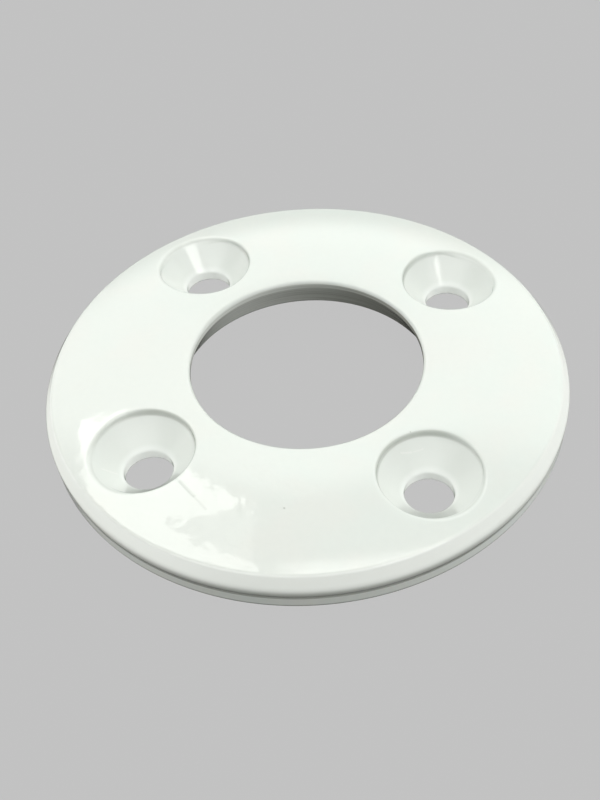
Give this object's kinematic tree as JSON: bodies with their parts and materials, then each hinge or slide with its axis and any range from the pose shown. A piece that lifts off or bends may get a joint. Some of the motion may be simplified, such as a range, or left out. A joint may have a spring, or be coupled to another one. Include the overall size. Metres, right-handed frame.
{
  "type": "ring flange",
  "caption": "Round white plastic ring flange with a crowned glossy face, an open centre bore and countersunk screw holes, seated on a flat back ring.",
  "frame": {"origin": "centre of the bore, on the plane of the flat back face", "axes": "+Z along the bore axis, out of the crowned front face; the first screw hole is 45 degrees round from +X towards +Y"},
  "size_m": [0.1, 0.1, 0.0082],
  "materials": {
    "face_plastic": "glossy injection-moulded white",
    "back_plastic": "semi-gloss moulded cool white"
  },
  "bodies": {
    "root": {"face_ring": "face_plastic", "back_ring": "back_plastic"}
  },
  "joints": []
}
